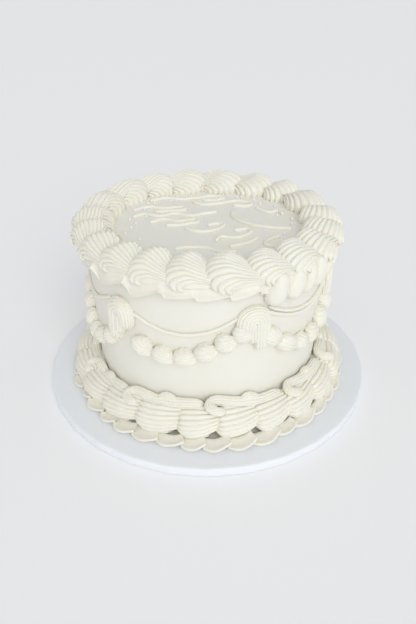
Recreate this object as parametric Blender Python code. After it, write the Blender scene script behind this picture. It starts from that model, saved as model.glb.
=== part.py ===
"""A piped buttercream cake on its round wrapped board.

Metres, +Z up. The origin is the centre of the board's underside. The front of the cake faces -Y,
and angles round the cake are in degrees from the front, growing towards +X.
"""

import math
import random

import bmesh
import bpy
from mathutils import Vector

MM = 0.001
GAP = 0.3 * MM  # clearance between pieces that touch

BOARD_RADIUS = 127 * MM  # a 10 inch board
BOARD_HEIGHT = 7 * MM
BOARD_EDGE = 1.6 * MM  # rounding of the wrapped edge
BOARD_FACETS = 40

CAKE_FOOT_RADIUS = 85.6 * MM
CAKE_TOP_RADIUS = 87 * MM  # a 6 inch cake with about 10 mm of buttercream
CAKE_HEIGHT = 116 * MM
CAKE_EDGE = 2.5 * MM
CAKE_FACETS = 56
CAKE_TOP = BOARD_HEIGHT + CAKE_HEIGHT

# Large shells round the top edge. Each angle is the crevice where a shell's head starts.
TOP_CREVICES = (-98, -82, -65.5, -49, -33, -17, -0.5, 18, 35, 52, 69, 86,
                102.5, 125, 141, 160, 181, 201, 218, 240)
TOP_SHELL_MIDDLE = 82.5 * MM
TOP_SHELL_WIDTH = 33 * MM
TOP_SHELL_RISE = 14.4 * MM
TOP_SHELL_RIBS = 6

# Shells round the foot: the front ones by eye, the rest in equal steps.
BASE_FRONT_CREVICES = (-48, -30, -12, 3, 18.6, 34, 49)
BASE_SHELL_COUNT = 22
BASE_SHELL_CENTRE = 88 * MM
BASE_SHELL_OUT = 17 * MM
BASE_SHELL_UP = 15.5 * MM
BASE_SHELL_MIDDLE = BOARD_HEIGHT + 13 * MM
BASE_SHELL_RIBS = 4
# Stations along one shell, and its swell there: the blunt head grows fast, the tail shrinks slowly.
BASE_SHELL_SWELL = ((0.0, 0.7), (0.14, 1.0), (0.55, 0.95), (0.93, 0.72))

# Scrolled rope that hides the joint between those shells and the wall. One scroll's middle line as
# (along, height, lift off the wall) in mm, and its radii; every second scroll is turned upside down.
SCROLL_COUNT = 22
SCROLL_FIRST = -31
SCROLL_RADIUS = 92.8 * MM
SCROLL_HEIGHT = BOARD_HEIGHT + 31 * MM
SCROLL_RIBS = 3
SCROLL_LINE = ((2.5, -5.8, 2.2), (-1.4, -0.6, 1.6), (3.2, 4.4, 0.8), (12, 3.8, 0.4), (28, -2.6, -0.8))
SCROLL_RADII = (3.8, 4.9, 5.1, 4.7, 2.9)
# A cone parts the rope from the shells under it: its height at the wall, and its fall outwards.
SEAT_TOP = BOARD_HEIGHT + 28.5 * MM
SEAT_FALL = 0.42

# Ruffle that hangs under the top shells: the crevices of the folds seen at the front and right.
TOP_FOLDS = (-52.5, -33, -18, -5, 8, 15.5, 22, 27.5, 33.5, 41, 50, 60)
TOP_FOLD_COUNT = 27
TOP_RUFFLE_TOP = CAKE_TOP - 1.2 * MM
BASE_FOLD_COUNT = 40
BASE_FOLD_FIRST = -37
BASE_RUFFLE_TOP = BOARD_HEIGHT + 3.9 * MM

DROP_ANGLES = (-100.5, -40, 19.5, 79.5, 139.5, 199.5)
DROP_TOPS = (96, 95, 98, 97, 96, 95)
DROP_LENGTH = 35 * MM
DROP_REACH = 5.5 * MM  # half the distance between its two legs
DROP_THICKNESS = 9 * MM
DROP_RIBS = 4

# Bead swags, one from each drop to the next: angle and height of the lowest point, in degrees and mm.
BEAD_LOWS = ((-68, 49), (-15, 60.4), (53, 55.5), (110, 55), (170, 54), (228, 56))
BEAD_SPREAD = 0.021  # mm of rise per squared degree
BEADS = 5
BEAD_WIDTH = 13.6 * MM
BEAD_TAIL = 1.4  # of the step between beads, so that each one reaches into the next
BEAD_RISE = 8.6 * MM
BEAD_RIBS = 3

# String swags above them, lowest point again, and the count of strings side by side.
STRING_LOWS = ((-70, 80, 1), (-12, 77.6, 1), (51, 81.8, 2), (110, 80, 1), (170, 79, 2), (229, 80, 1))
STRING_SPREAD = 0.019
STRING_RADIUS = 1.25 * MM
STRING_STEP = 3.2 * MM
STRING_STEPS = 9

FLOURISH_RADIUS = 1.15 * MM
PEARL_RADIUS = 1.1 * MM
PEARL_COUNT = 12
PEARL_RING = 61.5 * MM

BUTTERCREAM = (0.87, 0.86, 0.80)
RIBBED_BUTTERCREAM = (0.89, 0.87, 0.79)
BOARD_WHITE = (0.80, 0.82, 0.86)


def clear_scene():
    for old in list(bpy.data.objects):
        bpy.data.objects.remove(old, do_unlink=True)


def lerp(low, high, share):
    return low + (high - low) * share


def on_cake(angle, radius, height):
    """The point at an angle from the front, a distance from the axis and a height."""
    turn = math.radians(angle)
    return Vector((radius * math.sin(turn), -radius * math.cos(turn), height))


def outward(angle):
    return on_cake(angle, 1, 0)


def wall_radius(height):
    """Radius of the cake's wall, which leans out slightly towards the top."""
    return lerp(CAKE_FOOT_RADIUS, CAKE_TOP_RADIUS, (height - BOARD_HEIGHT) / CAKE_HEIGHT)


def off_wall(point):
    """The point, pushed out to lie clear of the wall."""
    radius = math.hypot(point.x, point.y)
    least = wall_radius(point.z) + 1.5 * GAP
    push = max(1, least / radius)
    return Vector((point.x * push, point.y * push, point.z))


def seat_height(radius):
    """Height at which rope and base shells meet, at a distance from the axis."""
    return SEAT_TOP - SEAT_FALL * (radius - CAKE_FOOT_RADIUS)


def material(name, colour, roughness):
    made = bpy.data.materials.new(name)
    made.use_nodes = True
    shader = made.node_tree.nodes["Principled BSDF"]
    shader.inputs["Base Color"].default_value = (*colour, 1)
    shader.inputs["Roughness"].default_value = roughness
    shader.inputs["Metallic"].default_value = 0
    return made


def add_object(name, mesh, finish=None):
    made = bpy.data.objects.new(name, mesh)
    bpy.context.scene.collection.objects.link(made)
    if finish:
        mesh.materials.clear()
        mesh.materials.append(finish)
    return made


def finish_mesh(name, bm):
    """Turn all faces outwards, split bent faces into flat ones, which fuse cleanly, and store the mesh."""
    bmesh.ops.recalc_face_normals(bm, faces=bm.faces)
    bmesh.ops.connect_verts_nonplanar(bm, angle_limit=0, faces=bm.faces)
    mesh = bpy.data.meshes.new(name)
    bm.to_mesh(mesh)
    bm.free()
    return mesh


def loft(name, rings, endless=False):
    """Closed mesh through rings of points. A ring of one point closes to a tip, other ends are capped."""
    bm = bmesh.new()
    loops = [[bm.verts.new(point) for point in ring] for ring in rings]
    pairs = list(zip(loops, loops[1:]))
    if endless:
        pairs.append((loops[-1], loops[0]))
    for low, high in pairs:
        count = max(len(low), len(high))
        for i in range(count):
            j = (i + 1) % count
            corners = (low[i % len(low)], low[j % len(low)], high[j % len(high)], high[i % len(high)])
            bm.faces.new(dict.fromkeys(corners))
    if not endless:
        for loop in (loops[0], loops[-1]):
            if len(loop) > 1:
                bm.faces.new(loop)
    return finish_mesh(name, bm)


def turned(name, profile, segments):
    """Solid of revolution from (radius, height) pairs, listed upwards along the outside."""
    rings = [[on_cake(360 * i / segments, radius, height) for i in range(segments)]
             for radius, height in profile]
    return loft(name, rings)


def fuse(name, meshes, finish):
    """One solid from overlapping meshes."""
    target = add_object(name, meshes[0], finish)
    if len(meshes) > 1:
        group = bpy.data.collections.new(name)
        bpy.context.scene.collection.children.link(group)
        for mesh in meshes[1:]:
            mesh.materials.append(finish)
            group.objects.link(bpy.data.objects.new(mesh.name, mesh))
        union = target.modifiers.new("Union", "BOOLEAN")
        union.operation = "UNION"
        union.solver = "MANIFOLD"
        union.operand_type = "COLLECTION"
        union.collection = group
        bpy.context.view_layer.objects.active = target
        bpy.ops.object.modifier_apply(modifier=union.name)
        for piece in list(group.objects):
            bpy.data.objects.remove(piece, do_unlink=True)
        bpy.data.collections.remove(group)
    return target


def keep_outside(bm):
    """Fill the hollows that fusing sealed and drop loose scraps: the largest closed surface stays."""
    groups = []
    left = set(bm.faces)
    while left:
        front = [left.pop()]
        group = []
        while front:
            face = front.pop()
            group.append(face)
            touching = {other for edge in face.edges for other in edge.link_faces} & left
            left -= touching
            front.extend(touching)
        groups.append(group)
    groups.sort(key=len)
    bmesh.ops.delete(bm, geom=[face for group in groups[:-1] for face in group], context="FACES")


def tidy(piece, angle=40):
    """Leave one closed surface and shade the piece smooth."""
    bm = bmesh.new()
    bm.from_mesh(piece.data)
    keep_outside(bm)
    bm.to_mesh(piece.data)
    bm.free()
    piece.data.shade_smooth()
    piece.data.set_sharp_from_angle(angle=math.radians(angle))


# --- piped shapes ---------------------------------------------------------------------------------

def shell(name, bed, length, width, rise, ribs, bands=4, tail_reach=1.2, groove=0.09):
    """A piped shell: ribs rise round a blunt head, run over its back and meet in a tail.

    bed(along, across, up) turns lengths on the bed where the shell lies into a point.
    """
    head = 0.36 * length
    reach = 0.42 * length
    tail = Vector((tail_reach * length, -0.1 * width, 0.3 * rise))
    columns = 2 * ribs + 1
    rings = []
    for band in range(bands):
        share = band / bands
        ring = []
        for column in range(columns):
            turn = math.radians(lerp(38, 300, column / (columns - 1)))
            foot = Vector((head + reach * math.cos(turn), 0.5 * width * math.sin(turn), 0))
            crest = rise * (0.62 + 0.38 * math.sin(math.radians(lerp(-20, 200, column / (columns - 1)))))
            point = rib_point(foot, tail, crest, share)
            if column % 2 == 0:
                heart = Vector((lerp(tail.x, head, 1 - share), 0, 0.35 * crest * min(1, 2 * share)))
                point = point.lerp(heart, groove)
            ring.append(point)
        under = (ring[0] + ring[-1]) / 2
        under.z = 0.4 * min(ring[0].z, ring[-1].z)
        rings.append([bed(*point) for point in (*ring, under)])
    rings.append([bed(*tail)])
    return loft(name, rings)


def rib_point(foot, tail, crest, share):
    """Point on a rib that climbs from its foot to its crest, then sinks to the tail."""
    climb = min(1, share / 0.45)
    fall = max(0, (share - 0.45) / 0.55)
    swing = math.radians(90 * climb)
    away = (0.62 + 0.38 * math.cos(swing) + 0.04 * math.sin(2 * swing)) * (1 - fall)
    point = tail.lerp(foot, away)
    point.z = lerp(crest * math.sin(swing), tail.z, fall ** 1.5)
    return point


def rope(name, path, radii, ribs, groove=0.12, ridged=True, trim=None):
    """A piped rope along path, whose points are (position, outward direction).

    trim moves a point of its surface clear of the neighbouring pieces.
    """
    columns = 2 * ribs if ridged else ribs
    rings = []
    for i, (centre, normal) in enumerate(path):
        before = path[max(i - 1, 0)][0]
        after = path[min(i + 1, len(path) - 1)][0]
        along = (after - before).normalized()
        up = (normal - normal.dot(along) * along).normalized()
        side = along.cross(up)
        ring = []
        for column in range(columns):
            turn = 2 * math.pi * (column + 0.5) / columns
            radius = radii[i] * (1 - groove * (column % 2) * ridged)
            point = centre + radius * (math.cos(turn) * side + math.sin(turn) * up)
            ring.append(trim(point) if trim else point)
        rings.append(ring)
    return loft(name, rings)


def wall_path(angle, points, radius):
    """Path over the wall from (along, height, lift) points round an angle, in metres."""
    path = []
    for along, height, lift in points:
        place = angle + math.degrees(along / radius)
        path.append((on_cake(place, radius + lift, height), outward(place)))
    return path


def ruffle(name, folds, stations, section, finish):
    """Ring of folds. section(share, width) gives (radius, height) points across one fold."""
    rings = []
    for start, end in zip(folds, [*folds[1:], folds[0] + 360]):
        for share in stations:
            rings.append([on_cake(lerp(start, end, share), radius, height)
                          for radius, height in section(share, end - start)])
    return add_object(name, loft(name, rings, endless=True), finish)


# --- the pieces -----------------------------------------------------------------------------------

def build_board(finish):
    edge = BOARD_EDGE
    profile = ((BOARD_RADIUS - edge, 0), (BOARD_RADIUS, edge),
               (BOARD_RADIUS, BOARD_HEIGHT - edge), (BOARD_RADIUS - edge, BOARD_HEIGHT))
    board = add_object("cake_board", turned("cake_board", profile, BOARD_FACETS), finish)
    board.data.shade_smooth()
    board.data.set_sharp_from_angle(angle=math.radians(30))


def cake_profile():
    edge = CAKE_EDGE
    return ((CAKE_FOOT_RADIUS, BOARD_HEIGHT + GAP),
            (CAKE_TOP_RADIUS, CAKE_TOP - edge),
            (CAKE_TOP_RADIUS - 0.3 * edge, CAKE_TOP - 0.3 * edge),
            (CAKE_TOP_RADIUS - edge, CAKE_TOP))


def curl(x, y, heading, length, bend_in, bend_out, steps=8):
    """A piped line on the cake's top whose bend, in degrees per mm, changes evenly along it."""
    path = []
    step = length / (steps - 1)
    for i in range(steps):
        path.append((Vector((x * MM, y * MM, CAKE_TOP)), Vector((0, 0, 1))))
        bend = lerp(bend_in, bend_out, (i + 0.5) / (steps - 1))
        heading += bend * step
        x += step * math.cos(math.radians(heading))
        y += step * math.sin(math.radians(heading))
    return path


def flourish_paths():
    """Scrollwork over the back and left of the top, with one long line that sweeps to the right."""
    return (
        curl(-42, 30, 20, 46, 4.5, -5.5),
        curl(-50, 4, -35, 44, -6, 5),
        curl(-14, 44, -8, 44, 4, -6),
        curl(-6, 18, 60, 44, -8, 5),
        curl(-32, -16, 30, 42, -7, 6),
        curl(4, -8, 35, 38, -8, 4),
        curl(14, 28, -100, 54, 5, -0.4, 10),
        curl(-8, -42, 8, 40, 2, -4),
    )


def build_cake(finish):
    meshes = [turned("iced_cake", cake_profile(), CAKE_FACETS)]
    for path in flourish_paths():
        radii = [FLOURISH_RADIUS] * len(path)
        meshes.append(rope("flourish", path, radii, 4, ridged=False))
    draw = random.Random(5)
    for i in range(PEARL_COUNT):
        place = on_cake(360 * (i + 0.7 * draw.random()) / PEARL_COUNT,
                        PEARL_RING - 7 * MM * draw.random(), CAKE_TOP + 0.6 * PEARL_RADIUS)
        bm = bmesh.new()
        bmesh.ops.create_icosphere(bm, subdivisions=1, radius=PEARL_RADIUS)
        bmesh.ops.translate(bm, verts=bm.verts, vec=place)
        meshes.append(finish_mesh("pearl", bm))
    tidy(fuse("iced_cake", meshes, finish), 30)


def build_top_shells(finish):
    draw = random.Random(11)
    meshes = []
    ends = [*TOP_CREVICES[1:], TOP_CREVICES[0] + 360]
    for start, end in zip(TOP_CREVICES, ends):
        length = math.radians(end - start) * TOP_SHELL_MIDDLE
        width = TOP_SHELL_WIDTH * draw.uniform(0.95, 1.02)
        rise = TOP_SHELL_RISE * draw.uniform(0.93, 1.02)

        def bed(along, across, up, start=start):
            return on_cake(start + math.degrees(along / TOP_SHELL_MIDDLE),
                           TOP_SHELL_MIDDLE + across, CAKE_TOP + GAP + up)

        meshes.append(shell("top_shell", bed, length, width, rise, TOP_SHELL_RIBS))
    tidy(fuse("top_shell_border", meshes, finish))


def base_crevices():
    last = BASE_FRONT_CREVICES[-1]
    spare = BASE_SHELL_COUNT - len(BASE_FRONT_CREVICES) + 1
    span = BASE_FRONT_CREVICES[0] + 360 - last
    return [*BASE_FRONT_CREVICES, *(last + span * i / spare for i in range(1, spare))]


def base_section(angle, swell):
    """Ribbed cross-section in the corner of wall and board, trimmed to the ruffle and the rope."""
    columns = 2 * BASE_SHELL_RIBS + 1
    floor = BASE_RUFFLE_TOP + GAP
    inner = CAKE_FOOT_RADIUS + 3 * GAP
    ring = [on_cake(angle, inner, floor)]
    for column in range(columns):
        turn = math.radians(lerp(-42, 104, column / (columns - 1)))
        size = swell * (1 - 0.09 * (column % 2 == 0))
        radius = BASE_SHELL_CENTRE + size * BASE_SHELL_OUT * math.cos(turn)
        height = BASE_SHELL_MIDDLE + size * BASE_SHELL_UP * math.sin(turn)
        height = min(height, seat_height(radius) - GAP / 2)
        ring.append(on_cake(angle, max(radius, inner), max(height, floor + column * 0.1 * MM)))
    return ring


def build_base_shells(finish):
    """One ring, because each shell's tail runs into the next one's head."""
    crevices = base_crevices()
    draw = random.Random(3)
    rings = []
    for start, end in zip(crevices, [*crevices[1:], crevices[0] + 360]):
        size = draw.uniform(0.95, 1.02)
        for share, swell in BASE_SHELL_SWELL:
            rings.append(base_section(lerp(start, end, share), size * swell))
    tidy(add_object("base_shell_border", loft("base_shell_border", rings, endless=True), finish))


def build_scrolls(finish):
    draw = random.Random(8)
    meshes = []
    for i in range(SCROLL_COUNT):
        flip = 1 if i % 2 else -1
        size = draw.uniform(0.94, 1.04)
        angle = SCROLL_FIRST + 360 * i / SCROLL_COUNT
        points = [(along * MM, SCROLL_HEIGHT + flip * size * height * MM, lift * MM)
                  for along, height, lift in SCROLL_LINE]
        path = wall_path(angle, points, SCROLL_RADIUS)

        def trim(point, lift=(i % 2) * GAP):
            point = off_wall(point)
            low = seat_height(math.hypot(point.x, point.y)) + GAP / 2 + lift
            return Vector((point.x, point.y, max(point.z, low)))

        meshes.append(rope("scroll", path, [r * size * MM for r in SCROLL_RADII], SCROLL_RIBS, trim=trim))
    tidy(fuse("base_scroll_border", meshes, finish))


def top_fold_section(share, width):
    """Cross-section of the hanging ruffle: an S from the wall out to a thin lifted edge."""
    narrow = max(0, min(1, (12 - width) / 4))
    rise = lerp(9.5 * share ** 2, 5 * (2 * share - 1) ** 2, narrow)
    edge = (lerp(95.5 + 2.2 * share, 94.2 + 3.4 * math.sin(math.pi * share), narrow) * MM,
            BOARD_HEIGHT + (101.6 + rise) * MM)
    wall = CAKE_TOP_RADIUS + 1.5 * GAP
    return ((wall, TOP_RUFFLE_TOP), (94.5 * MM, TOP_RUFFLE_TOP), edge,
            (edge[0] - 2.0 * MM, edge[1] + 0.2 * MM), (wall, TOP_RUFFLE_TOP - 7 * MM))


def base_fold_section(share, width):
    """Cross-section of the foot ruffle, a scallop with a thin raised rim that lies on the board."""
    bow = math.sin(math.pi * share)
    rim = (109.5 + 4.6 * bow + 0.8 * share) * MM
    floor = BOARD_HEIGHT + GAP
    return ((96 * MM, floor), (104 * MM, BASE_RUFFLE_TOP - 0.6 * MM),
            (rim, floor + (2.9 + 2.2 * share) * MM), (rim - 0.5 * MM, floor))


def top_folds():
    last = TOP_FOLDS[-1]
    spare = TOP_FOLD_COUNT - len(TOP_FOLDS) + 1
    span = TOP_FOLDS[0] + 360 - last
    return [*TOP_FOLDS, *(last + span * i / spare for i in range(1, spare))]


def build_ruffles(finish):
    top = ruffle("top_ruffle", top_folds(), (0.05, 0.5, 0.96), top_fold_section, finish)
    folds = [BASE_FOLD_FIRST + 360 * i / BASE_FOLD_COUNT for i in range(BASE_FOLD_COUNT)]
    base = ruffle("base_ruffle", folds, (0.05, 0.5, 0.93), base_fold_section, finish)
    for piece in (top, base):
        tidy(piece)


def build_drop(index, finish):
    """A scroll that climbs, turns over and comes down again, flat against the wall."""
    top = BOARD_HEIGHT + DROP_TOPS[index] * MM - 0.5 * DROP_THICKNESS
    low = top + DROP_THICKNESS - DROP_LENGTH
    reach = DROP_REACH
    points = [(-0.6 * reach, low, 0), (-reach, lerp(low, top, 0.45), 0)]
    for turn in (160, 110, 70, 20):
        swing = math.radians(turn)
        points.append((reach * math.cos(swing), top - reach + reach * math.sin(swing), 0.6 * MM))
    points += [(reach, lerp(low, top, 0.45), 0), (0.7 * reach, low - 1 * MM, 0)]
    radii = [share * DROP_THICKNESS / 2 for share in (0.8, 1.0, 1.0, 0.98, 0.98, 1.0, 0.96, 0.6)]
    centre = CAKE_TOP_RADIUS + 0.36 * DROP_THICKNESS
    name = f"drop_ornament_{index + 1}"
    mesh = rope(name, wall_path(DROP_ANGLES[index], points, centre), radii, DROP_RIBS, trim=off_wall)
    tidy(add_object(name, mesh, finish))


def swag_height(angle, low, spread):
    """Height of a swag at an angle, a parabola round its lowest point."""
    return BOARD_HEIGHT + (low[1] + spread * (angle - low[0]) ** 2) * MM


def build_beads(index, finish):
    """Short shells that touch along a swag between two drops."""
    low = BEAD_LOWS[index]
    margin = math.degrees((DROP_REACH + DROP_THICKNESS / 2 + GAP) / CAKE_TOP_RADIUS) + 0.8
    start = DROP_ANGLES[index] + margin
    end = DROP_ANGLES[index] + 60 - margin
    meshes = []
    step = (end - start) / BEADS
    for i in range(BEADS):
        angle = start + step * i
        height = swag_height(angle, low, BEAD_SPREAD)
        far = swag_height(angle + step, low, BEAD_SPREAD)
        run = math.radians(step) * CAKE_TOP_RADIUS
        slope = math.atan2(far - height, run)
        length = math.hypot(run, far - height) * (0.8 if i == BEADS - 1 else 1)

        def bed(along, across, up, angle=angle, height=height, slope=slope):
            flat = along * math.cos(slope) - across * math.sin(slope)
            rise = along * math.sin(slope) + across * math.cos(slope)
            return on_cake(angle + math.degrees(flat / CAKE_TOP_RADIUS),
                           wall_radius(height) + 2.5 * GAP + up, height + rise)

        meshes.append(shell("bead", bed, length, BEAD_WIDTH, BEAD_RISE, BEAD_RIBS, 3, BEAD_TAIL))
    tidy(fuse(f"ball_swag_{index + 1}", meshes, finish))


def build_strings(index, finish):
    """A thin piped line, or two side by side, draped over the wall above the beads."""
    angle_low, height_low, count = STRING_LOWS[index]
    name = f"string_swag_{index + 1}"
    start = DROP_ANGLES[index] + 7.6
    end = DROP_ANGLES[index] + 60 - 7.6
    meshes = []
    for strand in range(count):
        path = []
        for i in range(STRING_STEPS):
            angle = lerp(start, end, i / (STRING_STEPS - 1))
            height = swag_height(angle, (angle_low, height_low), STRING_SPREAD) - strand * STRING_STEP * 0.6
            path.append((on_cake(angle, wall_radius(height) + GAP + STRING_RADIUS, height), outward(angle)))
        radii = [STRING_RADIUS * (1 + 0.1 * strand)] * STRING_STEPS
        meshes.append(rope(name, path, radii, 4, ridged=False))
    tidy(fuse(name, meshes, finish), 60)


def main():
    clear_scene()
    smooth = material("smooth buttercream", BUTTERCREAM, 0.5)
    ribbed = material("ribbed buttercream", RIBBED_BUTTERCREAM, 0.5)
    build_board(material("white cake board", BOARD_WHITE, 0.35))
    build_cake(smooth)
    build_top_shells(ribbed)
    build_base_shells(ribbed)
    build_scrolls(ribbed)
    build_ruffles(smooth)
    for index in range(len(DROP_ANGLES)):
        build_drop(index, ribbed)
        build_beads(index, ribbed)
        build_strings(index, smooth)


main()
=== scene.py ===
"""A round cake in piped buttercream, on its wrapped board.

Metres, +Z up. The front of the cake faces -Y, and angles round the cake are in degrees from the
front, growing towards +X. Heights are measured from the underside of the board.
"""

import math
import random

import bpy
import numpy as np
from bpy.props import FloatProperty, FloatVectorProperty, PointerProperty
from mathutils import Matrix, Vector


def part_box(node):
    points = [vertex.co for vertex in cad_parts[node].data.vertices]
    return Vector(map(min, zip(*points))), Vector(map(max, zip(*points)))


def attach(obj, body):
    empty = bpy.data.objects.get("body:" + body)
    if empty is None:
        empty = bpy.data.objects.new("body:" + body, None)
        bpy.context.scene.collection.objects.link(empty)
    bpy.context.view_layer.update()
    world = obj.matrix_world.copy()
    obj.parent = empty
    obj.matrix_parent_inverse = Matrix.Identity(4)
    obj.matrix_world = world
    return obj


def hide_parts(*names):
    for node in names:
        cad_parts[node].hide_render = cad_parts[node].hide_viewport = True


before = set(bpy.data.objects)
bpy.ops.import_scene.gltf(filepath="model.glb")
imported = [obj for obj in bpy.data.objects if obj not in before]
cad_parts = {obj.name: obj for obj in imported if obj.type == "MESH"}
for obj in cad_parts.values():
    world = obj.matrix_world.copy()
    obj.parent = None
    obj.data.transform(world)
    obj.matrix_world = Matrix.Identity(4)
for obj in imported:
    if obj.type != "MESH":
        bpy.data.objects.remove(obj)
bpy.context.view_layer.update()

bl_info = {
    "name": "Piped Buttercream Cake",
    "version": (1, 0, 0),
    "blender": (4, 5, 0),
    "location": "View3D > Sidebar > Cake",
    "description": "Builds a round cake with piped buttercream borders on a wrapped board",
    "category": "Add Mesh",
}

MM = 0.001
GAP = 0.3 * MM  # clearance that the solids keep
BODY = "root"

# Sizes that the solids give. CAKE_TOP is the top of the smooth coat.
BOARD_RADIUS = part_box("cake_board")[1].x
BOARD_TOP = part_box("cake_board")[1].z
CAKE_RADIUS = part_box("iced_cake")[1].x
CAKE_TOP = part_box("top_shell_border")[0].z - GAP
CAKE_LEAN = 1.4 * MM  # the wall leans out by this much from foot to top

# Angles at which each piped shell's head starts, read round the cake.
TOP_CREVICES = (-98, -82, -65.5, -49, -33, -17, -0.5, 18, 35, 52, 69, 86,
                102.5, 125, 141, 160, 181, 201, 218, 240)
BASE_FRONT_CREVICES = (-48, -30, -12, 3, 18.6, 34, 49)
BASE_SHELL_COUNT = 22
# Distance from the axis, in mm, to the inner and the outer foot of the top shells.
TOP_FOOT_ANGLES = (-180, -147, -125, -101, -60, -38, -25, -8, 9, 26, 60, 92, 128, 165, 180)
TOP_FOOT_RADII = (61.5, 66, 71, 67, 66.5, 66, 62.5, 62.5, 65, 68, 68, 66.5, 67.5, 61.5, 61.5)
TOP_OUTER_ANGLES = (-180, -90, -60, -41, -25, -8, 9, 26, 43, 60, 90, 180)
TOP_OUTER_RADII = (98.5, 99.5, 97, 94.5, 95, 95.5, 97, 94.5, 95, 97, 99.5, 98.5)
# Folds of the top ruffle: angle, and height in mm above the board of its low start and of its cusp.
TOP_FOLDS = ((-124, 102, 109), (-108, 102, 109), (-92, 101, 109), (-71.5, 101, 110.5),
             (-52.5, 101, 112.5), (-33, 102, 111.5), (-18, 105, 109.5), (-5, 105, 109.5),
             (8, 105, 111.5), (19.6, 106, 106))
# The top shells from front to back (degrees off the front): the tail's offset to the side as a share of
# the width, the length with tail and half the head's length as shares of the spacing, the turns of the
# highest and the last rib, and how long the ribs stay apart.
TOP_OFF_FRONT = (0, 60, 90, 115, 150, 180)
TOP_TAIL_SIDE = (0.33, 0.3, 0.14, 0.02, 0.02, 0.02)
TOP_REACH = (1.48, 1.48, 1.5, 1.6, 1.6, 1.6)
TOP_HEAD = (0.42, 0.42, 0.47, 0.58, 0.62, 0.62)
TOP_RIDGE_TURN = (222, 222, 198, 175, 165, 165)
TOP_LAST_TURN = (284, 286, 310, 330, 336, 336)
TOP_SPREAD = (2.0, 2.0, 2.0, 2.4, 2.4, 2.4)
# How far the inner side of the top shells lags behind: angles, share of the distance inwards.
TOP_SKEW_ANGLES = (-110, -75, -41, -24, 0)
TOP_SKEWS = (0, -0.12, -0.22, -0.04, 0)
# Rounded puffs of the top ruffle: angle, radius in mm.
PUFFS = ((28, 7.4), (37, 6.3), (45, 5.6), (52.3, 5.3), (59.6, 5.2), (67, 5.2), (74.5, 5.2),
         (82, 5.3), (90, 5.4))
PUFFS_END = 96  # angle at which the folds go on
BACK_FOLD_COUNT = 9
BASE_FOLD_COUNT = 40
BASE_FOLD_FIRST = -37  # angle at which the first one starts
# Angles at which the scrolls of the rope start, as far as the front shows them.
SCROLL_STARTS = (-38.6, -1.9, 34.5)
SCROLL_COUNT = 11

# Sugar pearls: angle and mm from the axis.
PEARLS = ((-156, 61.5), (-131, 62), (-134, 58), (-107, 48), (-90, 52), (-83, 55), (-59, 54), (156, 59),
          (153, 61), (123, 63), (114, 59), (107, 55), (98, 63.5), (89, 61.5), (72, 57), (-166, 60),
          (-120, 56), (-98, 58), (-74, 60), (-44, 60), (-30, 62), (-12, 58), (12, 62), (34, 60),
          (50, 55), (63, 62), (82, 52), (134, 58), (143, 62), (168, 62), (178, 57), (-148, 55))

DROP_ANGLES = (-100.5, -40, 19.5, 79.5, 139.5, 199.5)
DROP_TOPS = (96, 95, 98, 97, 96, 95)  # mm above the board
# Beads of each swag: angle and mm above the board, where the bead's head starts.
BEADS = (
    ((-95, 71), (-86, 62), (-77, 55), (-68, 49.5), (-59.5, 50), (-51, 57)),
    ((-33, 66.5), (-23.5, 61), (-14, 59.5), (-4.5, 62.5), (4, 69.5), (11, 76)),
    ((24, 77), (32, 66), (41.5, 57.5), (51, 54.5), (61, 57), (70, 65)),
    ((85, 71), (94, 63), (103, 57), (112, 56), (121, 60), (130, 68)),
    ((145, 70), (154, 61), (163, 56), (172, 55), (181, 59), (190, 67)),
    ((205, 71), (214, 63), (223, 57), (232, 56), (241, 61), (250, 69)),
)
# Lowest point of each string swag: angle, mm above the board, strands.
STRING_LOWS = ((-70, 80, 1), (-12, 77.6, 1), (51, 81.8, 2), (110, 80, 1), (170, 79, 2), (229, 80, 1))
STRING_SPREAD = 0.019  # mm of rise per squared degree
# Where the scrolled rope and the middle of the base shells run: angles, mm above the board, and for the
# shells mm from the axis.
ROPE_ANGLES = (-180, -90, -57, -41, -25, -9, 0, 12, 25, 40, 57, 90, 180)
ROPE_HEIGHTS = (21, 15.5, 15, 19, 20.5, 23, 23.8, 23, 21, 21.3, 20.5, 20, 21)
SHELL_ANGLES = (-180, -90, -57, -41, -20, 0, 20, 40, 90, 180)
SHELL_HEIGHTS = (9, 6.5, 6.5, 8.5, 9.8, 10.2, 9.8, 9, 9, 9)
SHELL_CENTRES = (93.5, 94.7, 94.5, 93.5, 93, 93, 93, 93.5, 94.7, 93.5)
# Reach of the foot ruffle: degrees off the front, mm from the axis.
PETAL_OFF_FRONT = (0, 20, 40, 60, 90, 180)
PETAL_REACH = (113.6, 112.4, 111.3, 109.6, 110, 111.5)

RIB_COLUMNS = 6  # points across one rib of a piped shape
UPWARDS = (0.0, 0.0, 1.0)


# --- colours and materials ---

def linear(colour):
    """The linear RGB of an sRGB hex value."""
    channels = (int(colour[i:i + 2], 16) / 255 for i in (1, 3, 5))
    return tuple(c / 12.92 if c <= 0.04045 else ((c + 0.055) / 1.055) ** 2.4 for c in channels)


def add_node(tree, kind, settings=None, inputs=None):
    """Add a node, set its options, and set or link its inputs."""
    node = tree.nodes.new(kind)
    for name, value in (settings or {}).items():
        setattr(node, name, value)
    for name, value in (inputs or {}).items():
        if isinstance(value, bpy.types.NodeSocket):
            tree.links.new(value, node.inputs[name])
        else:
            node.inputs[name].default_value = value
    return node


def new_material(name):
    """An empty material and its node tree."""
    made = bpy.data.materials.new(name)
    made.use_nodes = True
    made.node_tree.nodes.clear()
    return made, made.node_tree


def noise(tree, size_mm, detail=2.0):
    """Noise over a piece, with features of about size_mm."""
    coords = add_node(tree, "ShaderNodeTexCoord").outputs["Object"]
    return add_node(tree, "ShaderNodeTexNoise", inputs={
        "Vector": coords, "Scale": 1 / (size_mm * MM), "Detail": detail}).outputs["Fac"]


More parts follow.
